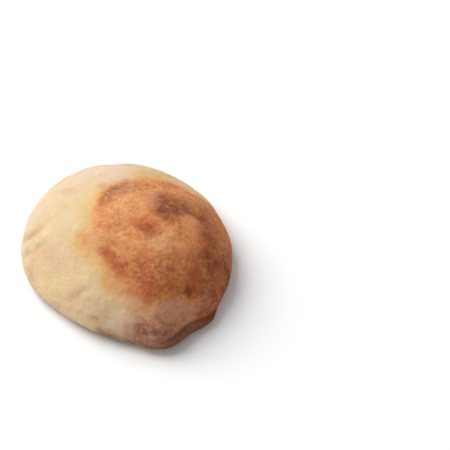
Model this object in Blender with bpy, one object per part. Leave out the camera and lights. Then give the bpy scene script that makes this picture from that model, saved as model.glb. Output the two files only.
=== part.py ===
"""Puccia: a round, domed flatbread of one piece, baked on a hot stone.

The loaf is a squat dome on a flat foot. Seen from above its widest line (the rim) is a
lopsided round of about 158 by 181 mm: its front left and its right side are flattened,
and a blunt corner stands out between them. The dome leans a little towards that corner.
The crown carries one broad, low blister where the skin lifted off the crumb and a few
cm-sized swells, and two short folds run up from the left rim.

Frame: metres, +Z up. The loaf stands on z = 0, and the middle of its outline's
bounding box is the origin. -Y is the front, +X the right.
"""

import math

import bmesh
import bpy
import numpy as np

MM = 0.001

# ---------------------------------------------------------------- driving sizes
RIM_RADIUS = 81.5 * MM  # mean radius of the widest line
CROWN_HEIGHT = 57.0 * MM  # dome's top over the board, before its relief
RIM_HEIGHT = 10.5 * MM  # height of the widest line over the board
FOOT_INSET = 11.0 * MM  # how far inside the rim the flat foot ends
CROWN_FULLNESS = 2.4  # exponent of the dome's flattening towards its top
SHOULDER = 0.87  # exponent of its fall towards the rim
CROWN_SHIFT = (7.0 * MM, -9.0 * MM)  # the dome leans: its top lies to the front right
RIM_ROUNDING = 0.16  # how far along the section the turn at the rim is eased
FOOT_SETTLING = 0.15 * MM  # crust lower than this lies on the board with the foot

# Lobes of the rim: azimuth and spread in degrees (0 = right, 90 = back), swell in mm.
RIM_LOBES = (
    (8, 38, -10),  # the right side, flattened
    (114, 35, 15),  # the swell at the back left
    (160, 30, 2.5),  # the left side, a little full
    (230, 32, -6.5),  # the front left side, flattened
    (288, 13, 10),  # the blunt corner at the front
    (313, 10, 5),  # its shoulder to the right
)
# Where the rim rises or dips, in mm.
RIM_RISES = (
    (20, 30, 2.0),
    (95, 25, -1.5),
    (150, 20, 2.5),
    (205, 22, -1.8),
    (248, 16, 1.6),
    (308, 20, -4.5),
)
# Where the foot draws further in (+) or spreads towards the rim (-), in mm.
FOOT_LOBES = (
    (10, 20, 1.5),
    (75, 24, -2.0),
    (140, 18, 2.0),
    (195, 16, -2.5),
    (235, 16, 1.5),
    (275, 14, -2.5),
    (310, 15, -4.0),
)

# The broad blister: centre, half widths, turn in degrees, lift, width of its edge.
BLISTER = (22 * MM, -4 * MM, 58 * MM, 46 * MM, -20.0, 2.0 * MM, 0.22)
# Rounded swells of the crown: x, y, half width, height, all in mm.
SWELLS = (
    (-48, 10, 22, 1.6),
    (-30, -46, 20, -1.2),
    (12, -62, 16, 1.3),
    (46, -42, 18, -1.4),
    (58, 8, 20, 1.5),
    (38, 44, 24, -2.6),
    (-8, 56, 26, 3.2),
    (-44, 42, 22, 2.2),
)
# Creases in the skin: from (x, y) to (x, y), half width, depth, all in mm. The last one,
# of negative depth, is the ridge between the other two.
CREASES = (
    (-78, 5, -62, 8, 2.8, 1.1),
    (-77, -9, -63, -9, 2.8, 1.1),
    (-76, -1, -54, 1, 3.2, -0.9),
)
# Fine unevenness: wavelength and height in mm.
RIPPLES = ((38.0, 1.1), (19.0, 0.45))

CUBE_CUTS = 31  # cuts along each side of the cube that is cast to the loaf

CRUST_COLOUR = (0.72, 0.40, 0.18, 1.0)
CRUST_ROUGHNESS = 0.78


# ---------------------------------------------------------------- the loaf's shape
def lobes(azimuth, table):
    """Sum of the bell-shaped lobes of a table round the loaf, in metres."""
    total = np.zeros_like(azimuth)
    for centre, spread, swell in table:
        off = (np.degrees(azimuth) - centre + 180.0) % 360.0 - 180.0
        total += swell * MM * np.exp(-((off / spread) ** 2))
    return total


def noise(points, seed):
    """Smooth noise between about -1 and 1: random slopes on a cubic lattice, blended between its corners."""
    cell = np.floor(points).astype(np.int64)
    part = points - cell
    fade = part**3 * (part * (part * 6 - 15) + 10)
    total = np.zeros(len(points))
    for corner in range(8):
        step = np.array([corner & 1, corner >> 1 & 1, corner >> 2 & 1])
        at = cell + step
        key = (at[:, 0] * 73856093) ^ (at[:, 1] * 19349663) ^ (at[:, 2] * 83492791)
        key = (key ^ (seed * 2654435761)) & 0xFFFFFFFF
        key = ((key ^ (key >> 15)) * 2246822519) & 0xFFFFFFFF
        key = ((key ^ (key >> 13)) * 3266489917) & 0xFFFFFFFF
        key = key ^ (key >> 16)
        turn = (key & 0xFFFF) / 65536.0 * 2 * np.pi
        rise = (key >> 16 & 0xFFFF) / 32768.0 - 1.0
        flat = np.sqrt(1 - rise**2)
        slope = np.stack([flat * np.cos(turn), flat * np.sin(turn), rise], axis=1)
        weight = np.prod(np.where(step == 1, fade, 1 - fade), axis=1)
        total += weight * np.sum(slope * (part - step), axis=1)
    return total * 1.6


def smooth_step(x):
    x = np.clip(x, 0.0, 1.0)
    return x * x * (3 - 2 * x)


def plain_section(azimuth, along):
    """The loaf's cross section: radius and height at a place along it.

    along runs from 0 at the dome's top to 1 at the rim, 2 where the foot begins and 3
    in the middle of the foot."""
    rim = RIM_RADIUS + lobes(azimuth, RIM_LOBES)
    waist = RIM_HEIGHT + lobes(azimuth, RIM_RISES)
    foot = rim - FOOT_INSET - lobes(azimuth, FOOT_LOBES)
    a = np.clip(along, 0, 1) * np.pi / 2
    b = np.clip(along - 1, 0, 1) * np.pi / 2
    c = np.clip(along - 2, 0, 1)
    dome_r = rim * np.sin(a) ** (2 / CROWN_FULLNESS)
    dome_z = waist + (CROWN_HEIGHT - waist) * np.maximum(np.cos(a), 0) ** (2 * SHOULDER)
    under_r = foot + (rim - foot) * np.cos(b)
    under_z = waist * (1 - np.sin(b))
    radius = np.where(along <= 1, dome_r, np.where(along <= 2, under_r, foot * (1 - c)))
    height = np.where(along <= 1, dome_z, np.where(along <= 2, under_z, 0.0))
    return radius, height


def section(azimuth, along):
    """The plain section with its turn at the rim eased: the mean over a short stretch there."""
    reach = RIM_ROUNDING * (1 - smooth_step(np.abs(along - 1) / 0.8))
    radius, height = 0.0, 0.0
    for offset, weight in ((-1.0, 1), (-0.5, 4), (0.0, 6), (0.5, 4), (1.0, 1)):
        r, z = plain_section(azimuth, along + offset * reach)
        radius, height = radius + r * weight / 16, height + z * weight / 16
    return radius, height


def relief(x, y, z):
    """How far the crust stands out (+) or lies in (-) at a place on the plain dome, in metres."""
    out = np.zeros_like(x)
    # the broad blister: a plateau with a soft, slightly wandering edge
    cx, cy, half_a, half_b, turn, lift, edge = BLISTER
    cos, sin = math.cos(math.radians(turn)), math.sin(math.radians(turn))
    px = (x - cx) * cos + (y - cy) * sin
    py = -(x - cx) * sin + (y - cy) * cos
    wander = 0.10 * noise(np.stack([x, y, z], 1) / (26 * MM), 7)
    reach = np.hypot(px / half_a, py / half_b) + wander
    out += lift * smooth_step((1 + edge - reach) / (2 * edge))
    for sx, sy, half, height in SWELLS:
        away = np.hypot(x - sx * MM, y - sy * MM) / (half * MM)
        out += height * MM * np.exp(-(away**2))
    for ax, ay, bx, by, half, depth in CREASES:
        a, b = np.array([ax, ay]) * MM, np.array([bx, by]) * MM
        share = ((x - a[0]) * (b - a)[0] + (y - a[1]) * (b - a)[1]) / ((b - a) @ (b - a))
        share = np.clip(share, 0, 1)
        away = np.hypot(x - a[0] - share * (b - a)[0], y - a[1] - share * (b - a)[1])
        fade = 1 - 0.7 * share
        out -= depth * MM * fade * np.exp(-((away / (half * MM)) ** 2))
    for k, (wave, height) in enumerate(RIPPLES):
        out += height * MM * noise(np.stack([x, y, z], 1) / (wave * MM), 11 + k)
    # all of it dies out under the rim, so that the foot stays flat
    return out * smooth_step((z - 1.5 * MM) / (9 * MM))


def surface(azimuth, along):
    """Points on the crust, before the loaf is centred."""
    radius, height = section(azimuth, along)
    x, y = radius * np.cos(azimuth), radius * np.sin(azimuth)
    # the section's outward direction, from its slope
    step = 1e-3
    r0, z0 = section(azimuth, np.maximum(along - step, 0))
    r1, z1 = section(azimuth, along + step)
    dr, dz = r1 - r0, z1 - z0
    length = np.maximum(np.hypot(dr, dz), 1e-12)
    out_r, out_z = -dz / length, dr / length
    out_z = np.where(along > 2, 0.0, out_z)
    lean = np.maximum(np.cos(np.clip(along, 0, 1) * np.pi / 2), 0) ** 1.5
    x, y = x + CROWN_SHIFT[0] * lean, y + CROWN_SHIFT[1] * lean
    stand = relief(x, y, height)
    return np.stack(
        [
            x + stand * out_r * np.cos(azimuth),
            y + stand * out_r * np.sin(azimuth),
            np.maximum(height + stand * out_z, 0.0),
        ],
        axis=1,
    )


def middle():
    """Middle of the loaf's outline, from the crust just round its rim."""
    azimuth, along = np.meshgrid(
        np.linspace(0, 2 * np.pi, 720, endpoint=False), np.linspace(0.8, 1.2, 41)
    )
    at = surface(azimuth.ravel(), along.ravel())
    return (at[:, :2].max(0) + at[:, :2].min(0)) / 2


def evenly_along(share):
    """Where along the section a given share of the whole surface's area lies, so that the faces come out alike in size."""
    along = np.concatenate([np.linspace(0, 2, 800), np.linspace(2, 3, 200)[1:]])
    radius, height = section(np.zeros_like(along), along)
    strip = np.hypot(np.diff(radius), np.diff(height)) * (radius[1:] + radius[:-1])
    area = np.concatenate([[0.0], np.cumsum(strip)])
    return np.interp(share, area / area[-1], along)


# ---------------------------------------------------------------- Blender objects
def crust_material():
    material = bpy.data.materials.new("crust")
    material.use_nodes = True
    shader = material.node_tree.nodes["Principled BSDF"]
    shader.inputs["Base Color"].default_value = CRUST_COLOUR
    shader.inputs["Roughness"].default_value = CRUST_ROUGHNESS
    shader.inputs["Metallic"].default_value = 0.0
    return material


def make_loaf():
    """A cube, cut into a fine grid and cast to the loaf, so that its faces are even all over."""
    bm = bmesh.new()
    bmesh.ops.create_cube(bm, size=2.0)
    bmesh.ops.subdivide_edges(
        bm, edges=bm.edges[:], cuts=CUBE_CUTS, use_grid_fill=True
    )
    bm.verts.ensure_lookup_table()
    at = np.array([v.co for v in bm.verts])
    # equal angles between the grid's lines, then on to the unit sphere
    at = np.tan(at * np.pi / 4)
    at /= np.linalg.norm(at, axis=1)[:, None]
    azimuth = np.arctan2(at[:, 1], at[:, 0])
    along = evenly_along((1 - at[:, 2]) / 2)
    points = surface(azimuth, along)
    points[:, :2] -= middle()
    points[points[:, 2] < FOOT_SETTLING, 2] = 0.0
    for vertex, point in zip(bm.verts, points):
        vertex.co = point
    # the foot is one flat face
    foot = [f for f in bm.faces if all(v.co.z < 1e-9 for v in f.verts)]
    bmesh.ops.dissolve_faces(bm, faces=foot, use_verts=True)
    bmesh.ops.recalc_face_normals(bm, faces=bm.faces[:])
    mesh = bpy.data.meshes.new("puccia")
    bm.to_mesh(mesh)
    bm.free()
    mesh.shade_smooth()
    loaf = bpy.data.objects.new("puccia", mesh)
    loaf.data.materials.append(crust_material())
    bpy.context.scene.collection.objects.link(loaf)
    return loaf


for old in list(bpy.data.objects):
    bpy.data.objects.remove(old)
make_loaf()
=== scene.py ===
"""Looks of the puccia: a finely modelled crust over the loaf's solid, its baked colours, the floor, the light and the camera.

The crust repeats the loaf's shape by the same functions and sizes, then adds what is too
fine for the solid: small blisters, folds, the crease over the foot, dents and grain.
Coordinates are metres, +Z up, -Y the front. Colour features are placed on the crust's own
map: millimetres along the crust from the top of the dome, right and back positive.
"""

import math

import bpy
import numpy as np
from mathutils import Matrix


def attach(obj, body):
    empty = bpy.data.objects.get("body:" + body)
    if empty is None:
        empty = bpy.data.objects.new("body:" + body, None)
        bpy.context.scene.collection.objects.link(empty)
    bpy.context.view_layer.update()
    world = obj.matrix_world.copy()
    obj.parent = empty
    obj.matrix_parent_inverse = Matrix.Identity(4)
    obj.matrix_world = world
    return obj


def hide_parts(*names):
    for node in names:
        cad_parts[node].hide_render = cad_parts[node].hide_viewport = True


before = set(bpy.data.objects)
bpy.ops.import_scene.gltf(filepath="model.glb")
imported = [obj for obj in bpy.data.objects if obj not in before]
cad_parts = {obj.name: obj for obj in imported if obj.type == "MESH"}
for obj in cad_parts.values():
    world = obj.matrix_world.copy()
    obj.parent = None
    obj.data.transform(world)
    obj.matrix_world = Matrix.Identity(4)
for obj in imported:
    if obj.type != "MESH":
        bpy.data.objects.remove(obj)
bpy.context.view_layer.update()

MM = 0.001

# ------------------------------------------------------------------ the loaf's sizes
RIM_RADIUS = 81.5 * MM
CROWN_HEIGHT = 57.0 * MM
RIM_HEIGHT = 10.5 * MM
FOOT_INSET = 11.0 * MM
CROWN_FULLNESS = 2.4
SHOULDER = 0.87
CROWN_SHIFT = (7.0 * MM, -9.0 * MM)
RIM_ROUNDING = 0.16
RIM_LOBES = (
    (8, 38, -10),  # the right side, flattened
    (114, 35, 15),  # the swell at the back left
    (160, 30, 2.5),  # the left side, a little full
    (230, 32, -6.5),  # the front left side, flattened
    (288, 13, 10),  # the blunt corner at the front
    (313, 10, 5),  # its shoulder to the right
)
RIM_RISES = (
    (20, 30, 2.0),
    (95, 25, -1.5),
    (150, 20, 2.5),
    (205, 22, -1.8),
    (248, 16, 1.6),
    (308, 20, -4.5),
)
FOOT_LOBES = (
    (10, 20, 1.5),
    (75, 24, -2.0),
    (140, 18, 2.0),
    (195, 16, -2.5),
    (235, 16, 1.5),
    (275, 14, -2.5),
    (310, 15, -4.0),
)
BLISTER = (22 * MM, -4 * MM, 58 * MM, 46 * MM, -20.0, 2.0 * MM, 0.22)
SWELLS = (
    (-48, 10, 22, 1.6),
    (-30, -46, 20, -1.2),
    (12, -62, 16, 1.3),
    (46, -42, 18, -1.4),
    (58, 8, 20, 1.5),
    (38, 44, 24, -2.6),
    (-8, 56, 26, 3.2),
    (-44, 42, 22, 2.2),
)
CREASES = (
    (-78, 5, -62, 8, 2.8, 1.1),
    (-77, -9, -63, -9, 2.8, 1.1),
    (-76, -1, -54, 1, 3.2, -0.9),
)
RIPPLES = ((38.0, 1.1), (19.0, 0.45))

CREASE_RHO = 83.4  # how far down the crust, in mm, the crease at the front right runs at its middle

# Folds at the left rim on the crust's map: from, to, half width, rise at the start, in mm.
FOLDS = (
    (-83, 9, -66, 12, 3.2, -1.1),
    (-82, 1, -60, 4, 3.0, 0.9),
    (-82, -6, -66, -4, 3.0, -1.1),
)

GRID = 124  # faces along each side of the cube that is cast to the crust


# ------------------------------------------------------------------ shape functions
def lobes(azimuth, table):
    total = np.zeros_like(azimuth)
    for centre, spread, swell in table:
        off = (np.degrees(azimuth) - centre + 180.0) % 360.0 - 180.0
        total += swell * MM * np.exp(-((off / spread) ** 2))
    return total


def hashed(at, seed):
    """32-bit hashes of integer lattice points."""
    key = (at[:, 0] * 73856093) ^ (at[:, 1] * 19349663) ^ (at[:, 2] * 83492791)
    key = (key ^ (seed * 2654435761)) & 0xFFFFFFFF
    key = ((key ^ (key >> 15)) * 2246822519) & 0xFFFFFFFF
    key = ((key ^ (key >> 13)) * 3266489917) & 0xFFFFFFFF
    return key ^ (key >> 16)


def noise(points, seed):
    """Smooth noise between about -1 and 1."""
    cell = np.floor(points).astype(np.int64)
    part = points - cell
    fade = part**3 * (part * (part * 6 - 15) + 10)
    total = np.zeros(len(points))
    for corner in range(8):
        step = np.array([corner & 1, corner >> 1 & 1, corner >> 2 & 1])
        key = hashed(cell + step, seed)
        turn = (key & 0xFFFF) / 65536.0 * 2 * np.pi
        rise = (key >> 16 & 0xFFFF) / 32768.0 - 1.0
        flat = np.sqrt(1 - rise**2)
        slope = np.stack([flat * np.cos(turn), flat * np.sin(turn), rise], axis=1)
        weight = np.prod(np.where(step == 1, fade, 1 - fade), axis=1)
        total += weight * np.sum(slope * (part - step), axis=1)
    return total * 1.6


def layered(points, seed, octaves=3, gain=0.5):
    """Noise of several sizes, each half as large as the one before."""
    total, size, scale = 0.0, 1.0, 1.0
    for k in range(octaves):
        total = total + size * noise(points * scale, seed + 17 * k)
        size, scale = size * gain, scale * 2.03
    return total


def blisters(points, seed, share, small, large):
    """Round bumps scattered one to a cell: height 0 to 1. share of the cells have one, with a radius between small and large cells."""
    cell = np.floor(points).astype(np.int64)
    best = np.zeros(len(points))
    for dx in (-1, 0, 1):
        for dy in (-1, 0, 1):
            for dz in (-1, 0, 1):
                at = cell + np.array([dx, dy, dz])
                a, b = hashed(at, seed), hashed(at, seed + 101)
                centre = at + np.stack(
                    [(a & 0x3FF) / 1024.0, (a >> 10 & 0x3FF) / 1024.0, (a >> 20 & 0x3FF) / 1024.0],
                    axis=1,
                )
                there = (b & 0xFFFF) / 65536.0 < share
                radius = small + (large - small) * ((b >> 16 & 0xFFFF) / 65536.0) ** 2
                away = np.linalg.norm(points - centre, axis=1) / radius
                bump = np.where(there, np.maximum(1 - away**2, 0) ** 1.5 * radius / large, 0)
                best = np.maximum(best, bump)
    return best


def smooth_step(x):
    x = np.clip(x, 0.0, 1.0)
    return x * x * (3 - 2 * x)


def bell(x):
    return np.exp(-(x**2))


def plain_section(azimuth, along):
    rim = RIM_RADIUS + lobes(azimuth, RIM_LOBES)
    waist = RIM_HEIGHT + lobes(azimuth, RIM_RISES)
    foot = rim - FOOT_INSET - lobes(azimuth, FOOT_LOBES)
    a = np.clip(along, 0, 1) * np.pi / 2
    b = np.clip(along - 1, 0, 1) * np.pi / 2
    c = np.clip(along - 2, 0, 1)
    dome_r = rim * np.sin(a) ** (2 / CROWN_FULLNESS)
    dome_z = waist + (CROWN_HEIGHT - waist) * np.maximum(np.cos(a), 0) ** (2 * SHOULDER)
    under_r = foot + (rim - foot) * np.cos(b)
    under_z = waist * (1 - np.sin(b))
    radius = np.where(along <= 1, dome_r, np.where(along <= 2, under_r, foot * (1 - c)))
    height = np.where(along <= 1, dome_z, np.where(along <= 2, under_z, 0.0))
    return radius, height


def section(azimuth, along):
    reach = RIM_ROUNDING * (1 - smooth_step(np.abs(along - 1) / 0.8))
    radius, height = 0.0, 0.0
    for offset, weight in ((-1.0, 1), (-0.5, 4), (0.0, 6), (0.5, 4), (1.0, 1)):
        r, z = plain_section(azimuth, along + offset * reach)
        radius, height = radius + r * weight / 16, height + z * weight / 16
    return radius, height


def relief(x, y, z):
    """The coarse relief that the solid has too."""
    out = np.zeros_like(x)
    cx, cy, half_a, half_b, turn, lift, edge = BLISTER
    cos, sin = math.cos(math.radians(turn)), math.sin(math.radians(turn))
    px = (x - cx) * cos + (y - cy) * sin
    py = -(x - cx) * sin + (y - cy) * cos
    wander = 0.10 * noise(np.stack([x, y, z], 1) / (26 * MM), 7)
    reach = np.hypot(px / half_a, py / half_b) + wander
    out += lift * smooth_step((1 + edge - reach) / (2 * edge))
    for sx, sy, half, height in SWELLS:
        away = np.hypot(x - sx * MM, y - sy * MM) / (half * MM)
        out += height * MM * np.exp(-(away**2))
    for ax, ay, bx, by, half, depth in CREASES:
        a, b = np.array([ax, ay]) * MM, np.array([bx, by]) * MM
        share = ((x - a[0]) * (b - a)[0] + (y - a[1]) * (b - a)[1]) / ((b - a) @ (b - a))
        share = np.clip(share, 0, 1)
        away = np.hypot(x - a[0] - share * (b - a)[0], y - a[1] - share * (b - a)[1])
        fade = 1 - 0.7 * share
        out -= depth * MM * fade * np.exp(-((away / (half * MM)) ** 2))
    for k, (wave, height) in enumerate(RIPPLES):
        out += height * MM * noise(np.stack([x, y, z], 1) / (wave * MM), 11 + k)
    return out * smooth_step((z - 1.5 * MM) / (9 * MM))


def arc_table():
    """Length along the mean section from the dome's top, in mm, for along from 0 to 3."""
    along = np.linspace(0, 3, 1501)
    radius, height = section(np.zeros_like(along), along)
    length = np.concatenate([[0.0], np.cumsum(np.hypot(np.diff(radius), np.diff(height)))])
    return along, length / MM


def grid_along(share):
    """Where along the section a share of the grid's faces lies: even over the dome, and sparser under the foot."""
    along = np.linspace(0, 3, 3001)
    radius, height = section(np.zeros_like(along), along)
    mid = (along[1:] + along[:-1]) / 2
    weight = 1 - 0.72 * smooth_step((mid - 1.6) / 0.5)
    strip = np.hypot(np.diff(radius), np.diff(height)) * (radius[1:] + radius[:-1]) * weight
    area = np.concatenate([[0.0], np.cumsum(strip)])
    return np.interp(share, area / area[-1], along)


def middle():
    """Middle of the plain loaf's outline, where the solid has its origin."""
    azimuth, along = np.meshgrid(
        np.linspace(0, 2 * np.pi, 720, endpoint=False), np.linspace(0.8, 1.2, 41)
    )
    at, _ = surface(azimuth.ravel(), along.ravel(), lambda *_: 0.0)
    return (at[:, :2].max(0) + at[:, :2].min(0)) / 2


def surface(azimuth, along, finer):
    """Points on the crust before it is centred, and their places before any relief. finer gives further relief there."""
    radius, height = section(azimuth, along)
    x, y = radius * np.cos(azimuth), radius * np.sin(azimuth)
    step = 1e-3
    r0, z0 = section(azimuth, np.maximum(along - step, 0))
    r1, z1 = section(azimuth, along + step)
    dr, dz = r1 - r0, z1 - z0
    length = np.maximum(np.hypot(dr, dz), 1e-12)
    out_r, out_z = -dz / length, dr / length
    out_z = np.where(along > 2, 0.0, out_z)
    lean = np.maximum(np.cos(np.clip(along, 0, 1) * np.pi / 2), 0) ** 1.5
    x, y = x + CROWN_SHIFT[0] * lean, y + CROWN_SHIFT[1] * lean
    plain = np.stack([x, y, height], axis=1)
    stand = relief(x, y, height) + finer(plain, azimuth, along)
    at = np.stack(
        [
            x + stand * out_r * np.cos(azimuth),
            y + stand * out_r * np.sin(azimuth),
            np.maximum(height + stand * out_z, 0.0),
        ],
        axis=1,
    )
    return at, plain


# ------------------------------------------------------------------ where the crust is browned, and where shade and highlights are painted on it
# Soft-edged patches on the crust's map: x, y, half length, half width (mm), turn (degrees),
# strength. Strength 1 is the full effect at the patch's middle.
BROWNED = (
    (1, -3, 28, 30, 0, 1.0),
    (-7, 10, 18, 16.5, 0, 1.0),
    (18, -21, 45, 35, -28, 1.0),
    (52, -30, 40, 52, 0, 1.0),
    (38, 17, 42, 26, -8, 1.0),
    (35, -76, 30, 20, 25, 0.9),
    (76, -8, 26, 48, 0, 1.0),
)
FRINGE = (
    (-22, -17, 18, 13, 0, 1.0),
    (-14, -32, 22, 16, -40, 1.0),
    (-18, 6, 18, 20, 0, 0.7),
    (-6, -49, 17, 11, -20, 1.0),
    (3, -64, 8, 12, 0, 0.5),
    (38, 34, 42, 18, -8, 1.0),
    (76, 18, 26, 36, 0, 0.9),
)
# Soft strokes of further browning (+) or less (-): x, y, half length, half width, turn, amount.
STROKES = (
    (-38, 52, 62, 26, 28, -0.10),
    (-4, 98, 34, 7, 0, 0.12),
    (-58, 80, 24, 6, 36, 0.12),
    (44, 86, 20, 6, -26, 0.14),
    (2, 58, 20, 4, 0, 0.08),
    # painted shade in part: this stroke and the one at (80, -32) darken the right flank, partly deeper baking, partly
    # shade
    (66, -42, 28, 40, 0, 0.20),
    (56, -28, 8, 9, 0, 0.08),
    (46, -24, 14, 6, 0, 0.16),
    (32, -38, 32, 16, 0, 0.05),
    (46, -46, 9, 10, 0, 0.09),
    (-8, -42, 12, 8, -20, 0.06),
    (58, -12, 9, 10, 0, 0.10),
    # painted shade in part: darkens the right rim
    (80, -32, 12, 24, 0, 0.20),
    # painted shadow: a soft dark band down the right of the crown
    (54, 2, 9, 15, 0, 0.13),
    (48, 11, 7, 6, 0, 0.14),
    (39, -40, 3.5, 13, -6, 0.13),
    (36, -48, 3.5, 3.5, 0, 0.18),
    (52, -8, 6, 12, 10, 0.08),
    (52, -57, 14, 6, 25, 0.10),
    # painted shade in part: this stroke and the next darken the lip at the front right and the front's lower edge
    (52, -71, 15, 7, 36, 0.26),
    (34, -84, 20, 7, 26, 0.20),
    (20, -46, 16, 4, 0, 0.10),
    (8, -44, 14, 9, -10, 0.06),
    (14, -34, 16, 4, 5, 0.05),
    (3, -33, 4, 4, 0, 0.08),
    (-12, 2, 15, 14, 0, -0.05),
    (-15, -8, 7, 3, 0, 0.08),
    (-23, 8, 4, 3, 0, 0.04),
    (-10, 10, 14, 7, 0, -0.10),
    (10, 13, 5, 7, 0, -0.06),
    (-22, -26, 5, 4, -40, 0.10),
    (-9, -44, 6, 5, -20, 0.10),
    (-16, -15, 8, 4, 0, -0.12),
    (-8, -14, 4, 3, 0, 0.10),
    (-12, -26, 7, 4, 0, -0.12),
    (-10, 15, 5, 5, 0, -0.10),
    (2, 16, 7, 5, 0, -0.08),
    (3, -2, 4, 3, 0, 0.14),
    (16, -3, 7, 3, -20, 0.14),
    (22, -4, 5, 3, 0, 0.08),
    (40, 1, 6, 4, 0, -0.14),
    (31, 5, 4, 3, 0, 0.14),
    (-4, -19, 9, 5, 0, -0.08),
    (13, -21, 8, 5, -30, -0.16),
    (21, -14, 8, 5, 0, -0.08),
    (-20, -1, 5, 4, 0, -0.04),
    (38, -10, 9, 16, 6, -0.06),
    (68, -33, 5, 8, -20, -0.10),
    (-30, -15, 6, 6, 0, -0.04),
    (-35, -16, 5, 8, 0, 0.05),
    (-32.5, -14, 3, 3.5, 0, 0.13),
    (-37, -9, 3.5, 3, 0, 0.10),
    (-27, -13, 3, 2.5, 0, 0.08),
    (-39, -29, 6, 9, 0, 0.06),
    (-14, -55, 12, 4, -15, 0.06),
    (0, -56, 9, 5, -10, 0.18),
    (10, -61, 6, 7, 0, 0.14),
    (64, -62, 6, 6, 0, 0.10),
    (22, -40, 36, 16, 0, 0.03),
    (16, -15, 4, 3, 0, -0.07),
    (-10, -23, 8, 4, 0, -0.05),
    (56, -14, 5, 5, 0, -0.08),
    (9, -58, 6, 4, 0, 0.12),
    (44, -21, 5, 6, 0, 0.07),
    (34, -21, 2.5, 4, 0, -0.09),
    (46, -4, 3, 4, 0, -0.12),
    (34, -4, 2.5, 3, 0, -0.10),
    (21, -19, 5, 4, 0, -0.08),
    (21, -39, 8, 3, 0, 0.04),
)
# The crust's colour by how far it is browned: level, and colour from 0 to 255.
RAMP = (
    (0.00, (216, 198, 174)),
    (0.10, (217, 193, 156)),
    (0.20, (220, 186, 136)),
    (0.30, (220, 175, 110)),
    (0.42, (217, 159, 95)),
    (0.54, (208, 140, 87)),
    (0.66, (195, 120, 74)),
    (0.78, (174, 100, 60)),
    (0.90, (146, 78, 46)),
    (1.00, (116, 52, 30)),
)
# The same on the browned crown, where lighter spots are peach and not golden.
CROWN_RAMP = (
    (0.20, (234, 176, 124)),
    (0.32, (231, 167, 113)),
    (0.42, (222, 156, 102)),
    (0.54, (209, 139, 85)),
    (0.66, (195, 120, 69)),
    (0.78, (174, 100, 56)),
    (0.90, (146, 76, 43)),
    (1.00, (116, 50, 28)),
)
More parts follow.
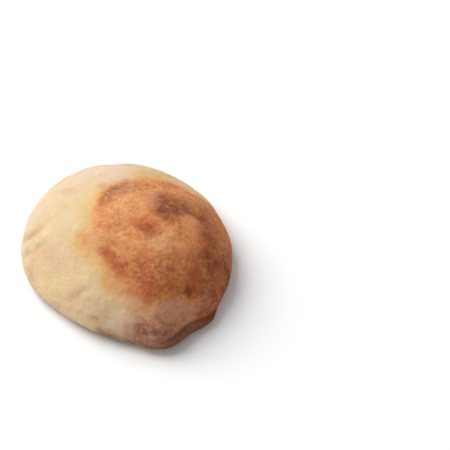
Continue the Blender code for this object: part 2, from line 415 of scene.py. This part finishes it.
# Coats of colour laid over it in turn: name, colour, strength, softness of the edges, and
# the patches that it covers.
COATS = (
    ("yellow", (228, 197, 144), 0.75, 0.8, (
        (-70, -42, 14, 20, 35, 0.9),
        (-46, -41, 12, 9, 0, 0.7),
        (-31, -37, 8, 6, 0, 0.5),
        (-56, -55, 10, 8, 30, 0.5),
        (-31, -85, 8, 4, -25, 0.6),
        (-12, -71, 8, 7, 0, 0.5),
        (-40, -77, 6, 4, -20, 0.5),
        (-4, 86, 18, 6, 0, 0.8),
        (-38, 62, 9, 7, 0, 0.7),
        (42, 76, 13, 6, -30, 0.7),
        (-66, 52, 9, 12, 30, 0.7),
        (12, 66, 9, 5, 0, 0.6),
        (14, -20, 6, 4.5, 0, 0.3),
    )),
    ("olive", (204, 182, 134), 0.70, 0.8, (
        (-60, 27, 18, 9, 40, 0.5),
        (-50, 17, 16, 8, 0, 0.5),
        (-47, -10, 7, 12, 0, 0.5),
        (-33, 6, 5, 18, 0, 0.6),
        (-34, -34, 7, 7, 0, 0.4),
        (-26, -83, 11, 5, 0, 0.8),
        (-40, -73, 5, 4, 0, 0.8),
        (-14, -72, 9, 4, 0, 0.6),
        (-50, -60, 7, 4, 0, 0.5),
        (-66, 9, 5, 4, 0, 0.6),
        (-27, -43, 6, 5, 0, 0.6),
        (-44, 50, 8, 6, 0, 0.4),
        (2, 74, 12, 5, 0, 0.7),
        (-56, 66, 8, 6, 30, 0.6),
        (30, 84, 10, 4, -20, 0.6),
        (-10, -56, 9, 3, -10, 0.3),
    )),
    ("pink", (224, 184, 156), 0.75, 0.7, (
        (-44, 36, 14, 8, -20, 0.7),
        (-20, 36, 12, 10, 0, 0.8),
        (-61, -14, 11, 8, 20, 0.9),
        (-54, -25, 7, 8, 0, 0.6),
        (-41, -50, 10, 5, 0, 0.7),
        (-30, -66, 12, 5, 0, 0.5),
        (-36, -62, 20, 6, 5, 0.9),
        (-56, -66, 14, 5, -38, 0.8),
        (-12, -63, 10, 5, 0, 0.4),
        (-20, -72, 8, 6, 0, 0.4),
        (-78, -14, 6, 6, 0, 0.5),
        (-14, 66, 13, 7, 0, 0.8),
        (-46, 76, 12, 6, 30, 0.8),
        (26, 70, 10, 5, -10, 0.7),
        (-30, 90, 12, 5, 15, 0.6),
    )),
    ("chalk", (216, 194, 178), 0.80, 0.8, (
        (-24, 52, 22, 8, 0, 0.8),
        (-80, 26, 6, 14, -20, 0.6),
        (-11, -79, 8, 5, 0, 0.6),
        # painted highlight: a paler strip on the rim's edge at the front left
        (-76, -48, 6, 14, 30, 0.6),
        (-14, 44, 8, 10, 10, 0.5),
        (-85, 0, 3, 26, 0, 0.4),
        (-9, -85, 7, 4, 0, 0.30),
    )),
    ("tan", (190, 142, 106), 0.75, 0.7, (
        # the next two lie in the grooves of the folds at the left rim: painted shade in the grooves
        (-74, 9, 11, 5.5, 6, 0.72),
        (-74, -6.5, 9, 3.8, 3, 0.78),
        (-42, -55, 7.5, 4, 22, 0.75),
        (-49, -59, 5, 3, 10, 0.45),
        (-44, 30, 7, 4, -20, 0.3),
        (-55, 60, 9, 3.5, 45, 0.40),
        (-22, 77, 9, 3.5, 12, 0.45),
        (-36, 82, 3.5, 2.5, 0, 0.55),
        (9, 78, 7, 3, -5, 0.40),
        (33, 76, 9, 3.5, -25, 0.50),
        (52, 66, 5, 3, -40, 0.50),
        (-4, 60, 4, 2.5, 0, 0.40),
        (16, 90, 7, 3, -8, 0.50),
        (-62, 72, 6, 3, 45, 0.45),
        (-12, 96, 9, 3, 5, 0.45),
        (-79, -23, 5, 11, 8, 0.28),
        (-58, -24, 7, 8, 0, 0.16),
        (-22, -64, 14, 6, -8, 0.18),
        (-14, -90, 6, 2.6, 0, 0.8),
        (-1, -84, 4, 8, 0, 0.35),
        (-38, -8, 2.5, 2.5, 0, 0.5),
        (-66, -14, 11, 7, 0, 0.3),
        (-27, -77, 4.5, 2.8, 0, 0.8),
        (-23, -71, 6, 4, 0, 0.3),
        (-40, -72, 3, 2.5, 0, 0.4),
        (-16, -88, 9, 3, 0, 0.7),
        (-62, -63, 8, 3, -40, 0.3),
        (-82, -30, 3, 12, 12, 0.4),
        (-20, -77, 14, 9, 0, 0.22),
        (-45, 33, 6, 3, -20, 0.2),
    )),
    ("cream", (248, 216, 178), 0.80, 0.8, (
        # the next two lie on the ridge between those folds: a painted highlight along the ridge
        (-74, 0.5, 11, 2.6, 8, 0.75),
        (-62, 3.5, 6, 2.5, 10, 0.4),
        (-5, -76, 8, 6, 0, 0.30),
        (1, -88, 6, 4, 0, 0.35),
        (-42, 13, 16, 12, -20, 0.12),
    )),
    ("peach", (233, 152, 100), 0.75, 0.8, (
        (41, -8, 7, 18, 8, 0.9),
        (32, -20, 8, 7, 0, 0.6),
        (12, -3, 7, 4, 0, 0.5),
        (19, -11, 7, 5, 0, 0.6),
        (-21, -2, 5, 7, 0, 0.35),
        (44, -58, 8, 4, 20, 0.4),
    )),
    ("rose", (193, 136, 110), 0.82, 0.5, (
        (29, -61, 14, 6.5, 0, 1.0),
        (18, -80, 19, 12, 12, 0.95),
        (42, -74, 14, 6, 36, 0.6),
        (42, -62, 9, 4, 22, 0.7),
        (8, -67, 9, 6, 0, 0.85),
        (0, -80, 7, 11, 0, 0.38),
        (-1, -88, 12, 5, 0, 0.38),
        (48, -55, 9, 4, 20, 0.4),
        (-8, 24, 8, 6, 20, 0.6),
        (10, 14, 6, 8, 0, 0.5),
        (22, -24, 5, 3, 0, 0.4),
    )),
    # the mauve is darkest along the front's lower edge: partly its own tone, partly painted shade
    ("mauve", (143, 93, 78), 0.88, 0.6, (
        (13, -80, 11, 8, 0, 0.62),
        (8, -82, 3.5, 6, 0, 0.45),
        (19, -69, 4, 7, 0, 0.45),
        (45, -70, 7, 3.5, 35, 0.40),
        (23, -88, 8, 3, 10, 0.50),
        (24, -73, 11, 6, 18, 0.8),
        (32, -84, 16, 7, 25, 0.9),
        (46, -77, 12, 5, 38, 0.8),
        (14, -87, 14, 5, 8, 0.6),
        (32, -66, 9, 4, 20, 0.3),
    )),
    ("red", (172, 82, 48), 0.80, 0.6, (
        (-15, -33, 11, 4, -42, 1.0),
        (-9, -38, 6, 3.5, -35, 0.7),
        (-23, -26, 4, 3, -40, 0.5),
        (9, -50, 5, 8, 10, 0.8),
        (4, -26, 4, 6, 0, 0.4),
        (6, -9, 8.5, 5, -12, 0.9),
        (9, -13, 5, 2.5, 0, 0.2),
        (23, -25.5, 3, 2, 0, 0.5),
        (6, -29, 3, 3, 0, 0.3),
        (-16, -31, 6, 4, -42, 0.6),
        (50, -12, 7, 12, 5, 0.5),
        (39, -38, 4, 12, -6, 0.5),
        (66, -40, 6, 16, 10, 0.4),
        (10, 8, 5, 7, 0, 0.35),
        (10, -62, 5, 5, 0, 0.16),
    )),
    ("purple", (120, 58, 42), 0.86, 0.7, (
        (23, 7, 9.5, 8, 0, 1.0),
        (20, 15, 9, 6, -20, 0.9),
        (17, 2, 4, 4, 0, 0.5),
        (35, 11, 10, 4.5, -12, 0.9),
        (45, 8, 6, 4, -20, 0.8),
        (29, 19, 12, 4, -10, 0.5),
        (-14, 18, 10, 4, 52, 0.55),
        (-20, 25, 6, 2.5, -40, 0.25),
        (7, -9.5, 6.5, 3.6, -15, 0.30),
        (7.5, -80.5, 3.3, 6, 0, 0.78),
        (21, -75, 2.5, 5, 0, 0.35),
        (23, -75, 6, 3.5, 20, 0.6),
        (29, -79, 9, 4, 20, 0.42),
        # painted shade in part: darkens the front's lower edge
        (26, -86, 14, 5, 12, 0.35),
        (71, -24, 8, 4, 15, 0.5),
        (22, 2.5, 8.5, 4, 4, 0.42),
        (20, 0.5, 8, 3, 0, 0.36),
    )),
)

# How uneven a coat lies, where it isn't 0.4.
PATCHY = {"red": 0.20, "purple": 0.20, "mauve": 0.75, "rose": 0.30}
# How strongly spots of about 3 mm break a coat up; the rose is thick where the mauve over it is thin.
SPOTTY = {"mauve": 0.40, "rose": -0.30}


def patches(mx, my, table, softness):
    """Union of soft-edged patches: 0 to 1."""
    left = np.ones_like(mx)
    for x, y, half_a, half_b, turn, strength in table:
        cos, sin = math.cos(math.radians(turn)), math.sin(math.radians(turn))
        px = (mx - x) * cos + (my - y) * sin
        py = -(mx - x) * sin + (my - y) * cos
        reach = np.hypot(px / half_a, py / half_b)
        left = left * (1 - strength * smooth_step((1 + softness - reach) / (2 * softness)))
    return 1 - left


def strokes(mx, my, table):
    """Sum of bell-shaped strokes."""
    total = np.zeros_like(mx)
    for x, y, half_a, half_b, turn, amount in table:
        cos, sin = math.cos(math.radians(turn)), math.sin(math.radians(turn))
        px = (mx - x) * cos + (my - y) * sin
        py = -(mx - x) * sin + (my - y) * cos
        total += amount * bell(np.hypot(px / half_a, py / half_b))
    return total


def freckles(mm):
    """Small lone blisters with browner tips."""
    return blisters(mm / 8.5, 47, 0.32, 0.09, 0.20)


def crease_at(azimuth, rho):
    """The crease just over the rim at the front right, and the lip below it: how strongly each is there."""
    turned = np.degrees(azimuth) % 360
    there = smooth_step((turned - 281) / 14) * smooth_step((326 - turned) / 12)
    line = rho - CREASE_RHO - 0.019 * (turned - 300) ** 2
    return there * bell(line / 2.1), there * bell((line - 5.5) / 3.2)


def fine_relief(plain, azimuth, along):
    """What the solid leaves out: blisters, grain, folds and the crease over the foot."""
    mm = plain / MM
    rho = np.interp(along, *ARC)
    mx, my = rho * np.cos(azimuth), rho * np.sin(azimuth)
    browned = patches(mx, my, BROWNED, 0.35)
    top = smooth_step((1.75 - along) / 0.5)
    out = (0.24 + 0.10 * (1 - browned)) * layered(mm / 9.0, 31, 3) * top
    out += (0.03 + 0.07 * browned) * noise(mm / 2.4, 37) * top
    out += (0.04 + 0.42 * browned) * blisters(mm / 5.2, 41, 0.42, 0.22, 0.52) * top
    out += (0.04 + 0.18 * browned) * blisters(mm / 2.6, 43, 0.5, 0.25, 0.5) * top
    out += 0.35 * freckles(mm) * top
    # the folds at the left rim are sharper than the solid's
    for ax, ay, bx, by, half, rise in FOLDS:
        share = np.clip(((mx - ax) * (bx - ax) + (my - ay) * (by - ay)) / ((bx - ax) ** 2 + (by - ay) ** 2), 0, 1)
        away = np.hypot(mx - ax - share * (bx - ax), my - ay - share * (by - ay))
        out += rise * (1 - 0.6 * share) * bell(away / half)
    groove, lip = crease_at(azimuth, rho)
    out += -1.3 * groove + 0.5 * lip
    # a small notch in the rim at the front left
    turned = np.degrees(azimuth) % 360
    out -= 1.3 * bell((turned - 256.5) / 2.2) * bell((rho - 93) / 6.0)
    return out * MM


ARC = arc_table()


# ------------------------------------------------------------------ the crust's mesh
def cube_grid(n):
    """Unit directions of a cube's even grid cast to a sphere, and its faces, corners shared."""
    t = np.tan(np.linspace(-1, 1, n + 1) * np.pi / 4)
    u, v = np.meshgrid(t, t, indexing="ij")
    one = np.ones_like(u)
    sides = (
        (one, u, v), (-one, v, u), (v, one, u), (u, -one, v), (u, v, one), (v, u, -one),
    )
    points, faces = [], []
    index = np.arange((n + 1) ** 2).reshape(n + 1, n + 1)
    quad = np.stack([index[:-1, :-1], index[1:, :-1], index[1:, 1:], index[:-1, 1:]], -1).reshape(-1, 4)
    for k, side in enumerate(sides):
        points.append(np.stack(side, -1).reshape(-1, 3))
        faces.append(quad + k * (n + 1) ** 2)
    points, faces = np.concatenate(points), np.concatenate(faces)
    key = np.round(points * 1e7).astype(np.int64)
    _, first, same = np.unique(key, axis=0, return_index=True, return_inverse=True)
    points, faces = points[first], same.reshape(-1)[faces]
    return points / np.linalg.norm(points, axis=1)[:, None], faces


def map_layout(rho, azimuth, faces, along):
    """Places of the faces' corners on the material's map: the dome fills one large disc and the foot a small one."""
    under = along[faces].mean(axis=1) > 1.45
    split = np.interp(1.45, *ARC)
    whole = ARC[1][-1]
    r_top = rho / (split + 4.0)
    r_foot = (whole - rho) / (whole - split + 4.0)
    top = np.stack([0.335 + 0.325 * r_top * np.cos(azimuth), 0.5 + 0.325 * r_top * np.sin(azimuth)], 1)
    foot = np.stack([0.83 + 0.16 * r_foot * np.cos(azimuth), 0.5 - 0.16 * r_foot * np.sin(azimuth)], 1)
    return np.where(under[:, None, None], foot[faces], top[faces])


def make_crust(material):
    directions, faces = cube_grid(GRID)
    azimuth = np.arctan2(directions[:, 1], directions[:, 0])
    along = grid_along((1 - directions[:, 2]) / 2)
    points, plain = surface(azimuth, along, fine_relief)
    # faces point out
    a, b, c = (points[faces[:, k]] for k in (0, 1, 2))
    inward = np.einsum("ij,ij->i", np.cross(b - a, c - a), (a + c) / 2 - np.array([0, 0, 0.02])) < 0
    faces[inward] = faces[inward][:, ::-1]
    points[:, :2] -= middle()
    # shallow dents under the foot; the rest of it stays on the board
    mm = plain / MM
    foot = smooth_step((along - 1.9) / 0.25)
    dents = np.maximum(layered(mm / 16.0, 71, 3) - 0.12, 0) * 0.9 * MM
    points[:, 2] += foot * dents

    mesh = bpy.data.meshes.new("puccia_crust")
    mesh.vertices.add(len(points))
    mesh.vertices.foreach_set("co", points.astype(np.float32).ravel())
    mesh.loops.add(faces.size)
    mesh.loops.foreach_set("vertex_index", faces.astype(np.int32).ravel())
    mesh.polygons.add(len(faces))
    mesh.polygons.foreach_set("loop_start", np.arange(0, faces.size, 4, dtype=np.int32))
    mesh.update(calc_edges=True)
    mesh.validate()
    mesh.shade_smooth()

    rho = np.interp(along, *ARC)
    layer = mesh.uv_layers.new(name="OFBake")
    layer.data.foreach_set("uv", map_layout(rho, azimuth, faces, along).astype(np.float32).ravel())

    for name, values in crust_masks(plain, azimuth, along, rho).items():
        mask = mesh.attributes.new(name, "FLOAT", "POINT")
        mask.data.foreach_set("value", values.astype(np.float32))

    crust = bpy.data.objects.new("puccia_crust", mesh)
    crust.data.materials.append(material)
    bpy.context.scene.collection.objects.link(crust)
    return crust


def crust_masks(plain, azimuth, along, rho):
    """How browned the crust is at each point, how strongly each coat of colour lies there, and where shade is painted
    low on the rim.
    """
    mm = plain / MM
    mx, my = rho * np.cos(azimuth), rho * np.sin(azimuth)
    # edges wander
    wx = mx + 2.2 * layered(mm / 15.0, 51, 3) + 0.9 * noise(mm / 4.5, 55)
    wy = my + 2.2 * layered(mm / 15.0, 53, 3) + 0.9 * noise(mm / 4.5, 56)
    browned = patches(wx, wy, BROWNED, 0.17)
    fringe = patches(wx, wy, FRINGE, 0.40)
    toast = 0.14 + 0.27 * fringe * (1 - browned) + 0.44 * browned + strokes(wx, wy, STROKES)
    toast += 0.075 * layered(mm / 7.0, 57, 3) * (0.15 + browned)
    toast += 0.16 * freckles(mm)
    masks = {"toast": np.clip(toast, 0, 1.05), "browned": browned}
    for k, (name, _, _, softness, table) in enumerate(COATS):
        patchy = PATCHY.get(name, 0.40)
        uneven = 1 + patchy * layered(mm / 6.0, 81 + 3 * k, 2) + SPOTTY.get(name, 0.0) * noise(mm / 3.4, 96)
        uneven = np.clip(uneven, 0.3, 1.5)
        masks[name] = np.clip(patches(wx, wy, table, softness) * uneven, 0, 1)
    # the pale skin is mottled all round, pinker here and greener there
    mottle = layered(mm / 22.0, 67, 3) + 0.55 * layered(mm / 7.5, 68, 2)
    masks["pink"] = np.clip(masks["pink"] + 0.55 * mottle, 0, 1) * (1 - browned)
    masks["olive"] = np.clip(masks["olive"] - 0.45 * mottle, 0, 1) * (1 - browned)
    masks["tan"] = np.clip(masks["tan"] + 0.20 * np.maximum(layered(mm / 10.0, 69, 3) - 0.1, 0), 0, 1)
    # the crown's brown is rosier here and more golden there
    tint = layered(mm / 15.0, 94, 2)
    masks["rose"] = np.clip(masks["rose"] + 0.30 * np.maximum(tint - 0.08, 0) * browned, 0, 1)
    masks["peach"] = np.clip(masks["peach"] + 0.30 * np.maximum(-tint - 0.08, 0) * browned, 0, 1)
    grainy = 1 - (1 - browned) * (1 - masks["mauve"]) * (1 - masks["rose"])
    masks["grainy"] = grainy
    masks["crease"], masks["lip"] = crease_at(azimuth, rho)
    # painted shade in part: a darker band low on the rim all round, where it turns under towards the floor, also a
    # toasted edge
    masks["sole_toast_and_shade"] = bell((along - 1.48) / 0.26) * np.clip(0.75 + 0.5 * layered(mm / 18.0, 73, 3), 0.2, 1)
    # painted shade along the front's rim where it turns under towards the floor, partly a toasted edge
    turned = np.degrees(azimuth) % 360
    front = smooth_step((turned - 249) / 9) * (1 - 0.5 * smooth_step((turned - 290) / 10)) * smooth_step((330 - turned) / 12)
    masks["rim_toast_and_shade"] = front * bell((along - 1.22) / 0.26) * np.clip(0.9 + 0.35 * layered(mm / 9.0, 75, 3), 0.3, 1)
    masks["under"] = smooth_step((along - 1.35) / 0.5)
    # the underside is scorched in broad patches, most of all in a ring near its edge
    masks["scorch"] = np.clip(0.35 + 0.5 * layered(mm / 24.0, 91, 3) + 0.4 * bell((along - 2.12) / 0.3), 0, 1)
    return masks


# ------------------------------------------------------------------ material
def linear(r, g, b):
    """A colour of 0 to 255 a channel, as the linear values that the shader takes."""
    def one(c):
        c = c / 255.0
        return c / 12.92 if c <= 0.04045 else ((c + 0.055) / 1.055) ** 2.4

    return (one(r), one(g), one(b), 1.0)


class Nodes:
    """Short calls for a material's nodes."""

    def __init__(self, tree):
        self.tree = tree

    def new(self, kind, **values):
        node = self.tree.nodes.new(kind)
        for name, value in values.items():
            setattr(node, name, value)
        return node

    def link(self, a, b):
        self.tree.links.new(a, b)

    def attribute(self, name):
        return self.new("ShaderNodeAttribute", attribute_name=name).outputs["Fac"]

    def noise(self, where, scale, detail=2.0, roughness=0.5, distortion=0.0):
        node = self.new("ShaderNodeTexNoise")
        self.link(where, node.inputs["Vector"])
        node.inputs["Scale"].default_value = scale
        node.inputs["Detail"].default_value = detail
        node.inputs["Roughness"].default_value = roughness
        node.inputs["Distortion"].default_value = distortion
        return node.outputs["Fac"]

    def math(self, operation, a, b=None, clamp=False):
        node = self.new("ShaderNodeMath", operation=operation, use_clamp=clamp)
        for socket, value in zip(node.inputs, (a, b)):
            if value is None:
                continue
            if isinstance(value, (int, float)):
                socket.default_value = value
            else:
                self.link(value, socket)
        return node.outputs[0]

    def spread(self, value, low, high, to_low=0.0, to_high=1.0):
        node = self.new("ShaderNodeMapRange")
        self.link(value, node.inputs["Value"])
        for name, number in (("From Min", low), ("From Max", high), ("To Min", to_low), ("To Max", to_high)):
            node.inputs[name].default_value = number
        return node.outputs["Result"]

    def mix(self, share, a, b, blend="MIX"):
        node = self.new("ShaderNodeMix", data_type="RGBA", blend_type=blend)
        for socket, value in ((node.inputs[0], share), (node.inputs[6], a), (node.inputs[7], b)):
            if isinstance(value, (int, float, tuple)):
                socket.default_value = value
            else:
                self.link(value, socket)
        return node.outputs[2]

    def ramp(self, value, stops):
        node = self.new("ShaderNodeValToRGB")
        node.color_ramp.interpolation = "LINEAR"
        elements = node.color_ramp.elements
        while len(elements) < len(stops):
            elements.new(0.5)
        for element, (place, colour) in zip(elements, stops):
            element.position = place
            element.color = colour
        self.link(value, node.inputs["Fac"])
        return node.outputs["Color"]


def crust_material():
    material = bpy.data.materials.new("baked_crust")
    material.use_nodes = True
    tree = material.node_tree
    shader = tree.nodes["Principled BSDF"]
    n = Nodes(tree)
    where = n.new("ShaderNodeTexCoord").outputs["Object"]

    toast = n.attribute("toast")
    browned = n.attribute("browned")
    # grain of the browning: flecks of 2 to 4 mm and clouds of about 8, strongest on the crown
    fleck = n.noise(where, 300.0, 3.0, 0.55)
    broad = n.noise(where, 120.0, 3.0, 0.5, 0.4)
    grain = n.math("MULTIPLY", n.math("SUBTRACT", fleck, 0.5), n.spread(browned, 0, 1, 0.10, 0.42))
    cloud = n.math("MULTIPLY", n.math("SUBTRACT", broad, 0.5), n.spread(browned, 0, 1, 0.10, 0.27))
    # crinkles: thin lighter lines 4 to 8 mm apart on the browned skin and the front
    grainy = n.attribute("grainy")
    wander = n.noise(where, 150.0, 2.0, 0.45, 0.6)
    off_line = n.math("MULTIPLY", n.math("ABSOLUTE", n.math("SUBTRACT", wander, 0.5)), 15.0)
    crinkle = n.math("MULTIPLY", n.math("SUBTRACT", 1.0, off_line, clamp=True), grainy)
    lighter = n.math("MULTIPLY", n.math("SUBTRACT", 0.18, crinkle), n.spread(browned, 0, 1, 0.0, 0.08))
    level = n.math("ADD", n.math("ADD", n.math("ADD", toast, grain), cloud), lighter)
    skin = n.ramp(level, [(place, linear(*shade)) for place, shade in RAMP])
    crown = n.ramp(level, [(place, linear(*shade)) for place, shade in CROWN_RAMP])
    colour = n.mix(browned, skin, crown)
    # each coat's edge is broken up by the same grain
    ragged = n.spread(n.noise(where, 240.0, 3.0, 0.6), 0.3, 0.7, 0.55, 1.25)
    for name, shade, strength, _, _ in COATS:
        share = n.math("MULTIPLY", n.math("MULTIPLY", n.attribute(name), strength), ragged, clamp=True)
        colour = n.mix(share, colour, linear(*shade))
    # flecks of 2 to 3 mm over all of it, faint on the pale skin
    speck = n.noise(where, 330.0, 3.0, 0.6)
    flecks = n.ramp(
        speck,
        (
            (0.30, (0.82, 0.74, 0.62, 1)),
            (0.50, (1.01, 1.005, 1.00, 1)),
            (0.70, (1.10, 1.17, 1.28, 1)),
        ),
    )
    colour = n.mix(n.spread(grainy, 0, 1, 0.15, 0.75), colour, n.mix(1.0, colour, flecks, "MULTIPLY"))
    front = n.math("MAXIMUM", n.attribute("mauve"), n.math("MULTIPLY", n.attribute("rose"), 0.5))
    lines = n.math("MULTIPLY", n.math("MULTIPLY", crinkle, front), 0.35)
    colour = n.mix(lines, colour, linear(208, 160, 134))
    # painted shade: the lip below the crease and the crease itself are darkened as shade darkens them
    colour = n.mix(n.math("MULTIPLY", n.attribute("lip"), 0.70), colour, linear(112, 72, 44))
    colour = n.mix(n.math("MULTIPLY", n.attribute("crease"), 0.65), colour, linear(96, 50, 28))
    # underside: floury tan with brown spots
    spots = n.math("ADD", n.noise(where, 130.0, 4.0, 0.55), n.spread(n.attribute("scorch"), 0, 1, -0.13, 0.15))
    under_colour = n.ramp(
        spots,
        (
            (0.32, linear(233, 209, 172)),
            (0.46, linear(221, 184, 136)),
            (0.57, linear(198, 148, 98)),
            (0.67, linear(160, 106, 66)),
            (0.80, linear(112, 70, 44)),
        ),
    )
    colour = n.mix(n.attribute("under"), colour, under_colour)
    # a darker band runs round the loaf low on its rim: partly a toasted edge where it met the hot floor, partly painted
    # shade where the rim turns under
    sole_toast_and_shade_share = n.math("MULTIPLY", n.math("MULTIPLY", n.attribute("sole_toast_and_shade"), 0.75), ragged, clamp=True)
    colour = n.mix(sole_toast_and_shade_share, colour, linear(124, 88, 62))
    # painted shade on the front's lower rim, partly a toasted edge
    rim_toast_and_shade_share = n.math("MULTIPLY", n.attribute("rim_toast_and_shade"), 0.75)
    colour = n.mix(rim_toast_and_shade_share, colour, linear(98, 74, 54))
    n.link(colour, shader.inputs["Base Color"])

    rough = n.spread(n.noise(where, 260.0, 2.0), 0.3, 0.7, 0.70, 0.90)
    n.link(rough, shader.inputs["Roughness"])
    shader.inputs["Specular IOR Level"].default_value = 0.2
    shader.inputs["Metallic"].default_value = 0.0

    fine = n.new("ShaderNodeBump")
    fine.inputs["Strength"].default_value = 0.5
    fine.inputs["Distance"].default_value = 0.0005
    n.link(n.noise(where, 900.0, 3.0, 0.6), fine.inputs["Height"])
    coarse = n.new("ShaderNodeBump")
    coarse.inputs["Strength"].default_value = 0.6
    coarse.inputs["Distance"].default_value = 0.0009
    crusted = n.math("ADD", n.noise(where, 360.0, 3.0, 0.55), n.math("MULTIPLY", crinkle, 0.22))
    n.link(crusted, coarse.inputs["Height"])
    n.link(fine.outputs["Normal"], coarse.inputs["Normal"])
    n.link(coarse.outputs["Normal"], shader.inputs["Normal"])
    return material


# ------------------------------------------------------------------ floor, light, camera
def make_floor():
    mesh = bpy.data.meshes.new("floor")
    half = 4.0
    mesh.from_pydata(
        [(-half, -half, 0), (half, -half, 0), (half, half, 0), (-half, half, 0)], [], [(0, 1, 2, 3)]
    )
    floor = bpy.data.objects.new("floor", mesh)
    floor.location.z = -0.0002
    material = bpy.data.materials.new("pale_floor")
    material.use_nodes = True
    shader = material.node_tree.nodes["Principled BSDF"]
    shader.inputs["Base Color"].default_value = (0.95, 0.95, 0.95, 1)
    shader.inputs["Roughness"].default_value = 0.9
    shader.inputs["Specular IOR Level"].default_value = 0.1
    floor.data.materials.append(material)
    bpy.context.scene.collection.objects.link(floor)


def soft_sun(name, place, aim, strength, angle):
    """A distant light as soft as a large softbox, which lights the whole floor evenly."""
    light = bpy.data.lights.new(name, "SUN")
    light.energy = strength
    light.angle = math.radians(angle)
    holder = bpy.data.objects.new(name, light)
    holder.location = place
    x, y, z = (a - b for a, b in zip(aim, place))
    holder.rotation_euler = (math.atan2(math.hypot(x, y), -z), 0, math.atan2(x, -y) + math.pi)
    bpy.context.scene.collection.objects.link(holder)
    return holder


def make_light():
    world = bpy.data.worlds.new("studio")
    bpy.context.scene.world = world
    world.use_nodes = True
    n = Nodes(world.node_tree)
    world.node_tree.nodes.clear()
    output = n.new("ShaderNodeOutputWorld")
    soft, seen = n.new("ShaderNodeBackground"), n.new("ShaderNodeBackground")
    soft.inputs["Color"].default_value = (1, 1, 1, 1)
    soft.inputs["Strength"].default_value = 0.43
    seen.inputs["Color"].default_value = (1, 1, 1, 1)
    seen.inputs["Strength"].default_value = 1.0
    mix = n.new("ShaderNodeMixShader")
    n.link(n.new("ShaderNodeLightPath").outputs["Is Camera Ray"], mix.inputs["Fac"])
    n.link(soft.outputs[0], mix.inputs[1])
    n.link(seen.outputs[0], mix.inputs[2])
    n.link(mix.outputs[0], output.inputs["Surface"])
    soft_sun("key", (-1.9, 1.2, 2.45), (0, 0, 0.02), 2.85, 50.0)


def make_camera():
    """Looks down at 47 degrees from the front, past the loaf's right, as the photograph does."""
    down = math.radians(47.0)
    distance = 0.9
    aim = (0.0737, 0.0341, 0.0)
    camera = bpy.data.cameras.new("camera")
    camera.sensor_width = 36.0
    camera.lens = 93.0
    camera.clip_start = 0.01
    camera.clip_end = 30.0
    holder = bpy.data.objects.new("camera", camera)
    holder.location = (aim[0], aim[1] - distance * math.cos(down), aim[2] + distance * math.sin(down))
    holder.rotation_euler = (math.pi / 2 - down, 0, 0)
    bpy.context.scene.collection.objects.link(holder)
    bpy.context.scene.camera = holder


crust = make_crust(crust_material())
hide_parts("puccia")
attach(crust, "root")
make_floor()
make_light()
make_camera()
bpy.context.scene.view_settings.view_transform = "Standard"
bpy.context.scene.view_settings.look = "None"
bpy.context.scene.view_settings.exposure = 0.0
bpy.context.scene.view_settings.gamma = 1.0
